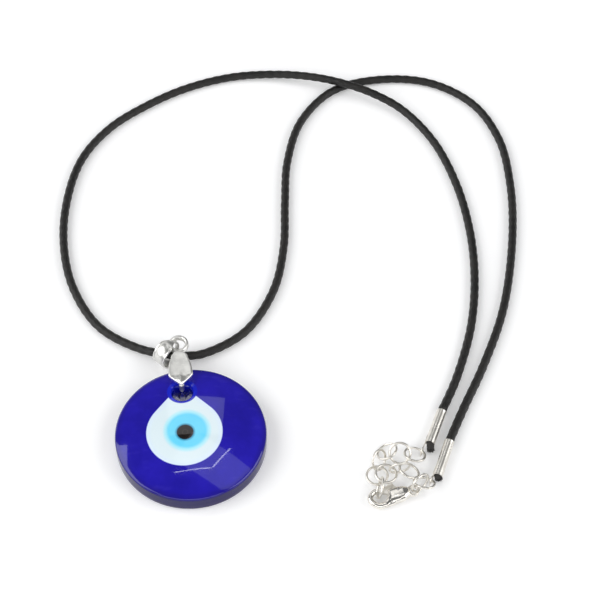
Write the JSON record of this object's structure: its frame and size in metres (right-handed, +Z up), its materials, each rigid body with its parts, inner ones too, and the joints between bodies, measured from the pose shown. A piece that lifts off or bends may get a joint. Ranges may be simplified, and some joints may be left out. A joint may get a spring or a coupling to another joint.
{
  "type": "evil eye pendant necklace",
  "caption": "Evil eye glass disc on a metal hoop-and-clip bail, threaded on a looped waxed cord that closes with a spring clasp and an extender chain.",
  "frame": {"origin": "on the table the necklace lies on, under the middle of the glass disc's back face", "axes": "+Z up out of the table, towards the eye's face; +X to the clasp's side; +Y to the far loops of the cord"},
  "size_m": [0.0994, 0.1152, 0.0073],
  "materials": {
    "cobalt_glass": "deep cobalt glass, fire polished",
    "white_glass": "opal white glass, glossy",
    "turquoise_glass": "turquoise glass, glossy",
    "black_glass": "near black glass, glossy",
    "plated_metal": "platinum coloured plating, polished",
    "spring_steel": "plain steel",
    "waxed_cord": "black waxed braid"
  },
  "bodies": {
    "cord_and_ends": {"neck_cord": "waxed_cord", "cord_crimp_a": "plated_metal", "cord_crimp_b": "plated_metal"},
    "hoop": {"bail_hoop": "plated_metal"},
    "clip": {"bail_clip": "plated_metal"},
    "disc": {"glass_disc": "cobalt_glass", "eye_white": "white_glass", "eye_iris": "turquoise_glass", "eye_pupil": "black_glass"},
    "ring_a": {"jump_ring_a": "plated_metal"},
    "link_01": {"chain_link_01": "plated_metal"},
    "link_02": {"chain_link_02": "plated_metal"},
    "link_03": {"chain_link_03": "plated_metal"},
    "link_04": {"chain_link_04": "plated_metal"},
    "link_05": {"chain_link_05": "plated_metal"},
    "link_06": {"chain_link_06": "plated_metal"},
    "link_07": {"chain_link_07": "plated_metal"},
    "link_08": {"chain_link_08": "plated_metal"},
    "ring_b": {"jump_ring_b": "plated_metal"},
    "ring_c": {"clasp_ring": "plated_metal"},
    "clasp": {"clasp_body": "plated_metal", "clasp_pin": "spring_steel", "clasp_spring": "spring_steel"},
    "lever": {"clasp_lever": "plated_metal"}
  },
  "joints": [
    {"name": "hoop_swing", "type": "hinge", "parent": "cord_and_ends", "child": "hoop", "pos_m": [-0.0054, 0.01995, 0.0023], "axis": [0.9714, -0.2354, 0.03], "range_deg": [0, 80]},
    {"name": "clip_swing", "type": "hinge", "parent": "hoop", "child": "clip", "pos_m": [-0.00345, 0.0216, 0.0033], "axis": [0.0057, -0.0256, 0.9997], "range_deg": [-12, 20]},
    {"name": "disc_swing", "type": "hinge", "parent": "clip", "child": "disc", "pos_m": [-0.00209, 0.01002, 0.00066], "axis": [0.0057, -0.0256, 0.9997], "range_deg": [-35, 30]},
    {"name": "ring_a_swing", "type": "hinge", "parent": "cord_and_ends", "child": "ring_a", "pos_m": [0.04571, -0.0025, 0.0011], "axis": [0, 0, 1], "range_deg": [-1, 1]},
    {"name": "link_01_swing", "type": "hinge", "parent": "ring_a", "child": "link_01", "pos_m": [0.04278, -0.00355, 0.00202], "axis": [0, 0, -1], "range_deg": [-1, 1]},
    {"name": "link_02_swing", "type": "hinge", "parent": "link_01", "child": "link_02", "pos_m": [0.04005, -0.00305, 0.00178], "axis": [0, 0, 1], "range_deg": [-1, 2]},
    {"name": "link_03_swing", "type": "hinge", "parent": "link_02", "child": "link_03", "pos_m": [0.03798, -0.00385, 0.0018], "axis": [0, 0, -1], "range_deg": [-3, 1]},
    {"name": "link_04_swing", "type": "hinge", "parent": "link_03", "child": "link_04", "pos_m": [0.03692, -0.00668, 0.00193], "axis": [0, 0, 1], "range_deg": [-2, 1]},
    {"name": "link_05_swing", "type": "hinge", "parent": "link_04", "child": "link_05", "pos_m": [0.03695, -0.00983, 0.00193], "axis": [0, 0, -1], "range_deg": [-4, 0]},
    {"name": "link_06_swing", "type": "hinge", "parent": "link_05", "child": "link_06", "pos_m": [0.0378, -0.00992, 0.00248], "axis": [0, 0, 1], "range_deg": [-2, 5]},
    {"name": "link_07_swing", "type": "hinge", "parent": "link_06", "child": "link_07", "pos_m": [0.03977, -0.00768, 0.0025], "axis": [0, 0, -1], "range_deg": [-8, 3]},
    {"name": "link_08_swing", "type": "hinge", "parent": "link_07", "child": "link_08", "pos_m": [0.04205, -0.00728, 0.0024], "axis": [0, 0, 1], "range_deg": [-6, 8]},
    {"name": "ring_b_swing", "type": "hinge", "parent": "cord_and_ends", "child": "ring_b", "pos_m": [0.04727, -0.00911, 0.0011], "axis": [0, 0, 1], "range_deg": [-1, 1]},
    {"name": "clasp_ring_swing", "type": "hinge", "parent": "ring_b", "child": "ring_c", "pos_m": [0.04543, -0.01022, 0.00215], "axis": [0, 0, -1], "range_deg": [-1, 2]},
    {"name": "clasp_swing", "type": "hinge", "parent": "ring_c", "child": "clasp", "pos_m": [0.0437, -0.0115, 0.0013], "axis": [0, 0, 1], "range_deg": [-2, 0.5]},
    {"name": "lever_press", "type": "hinge", "parent": "clasp", "child": "lever", "pos_m": [0.04067, -0.01179, 0.0013], "axis": [0, 0, 1], "range_deg": [0, 14], "stiffness_Nm_per_rad": 0.0004, "springref_deg": -8.59, "deforming": ["clasp_spring"]}
  ]
}
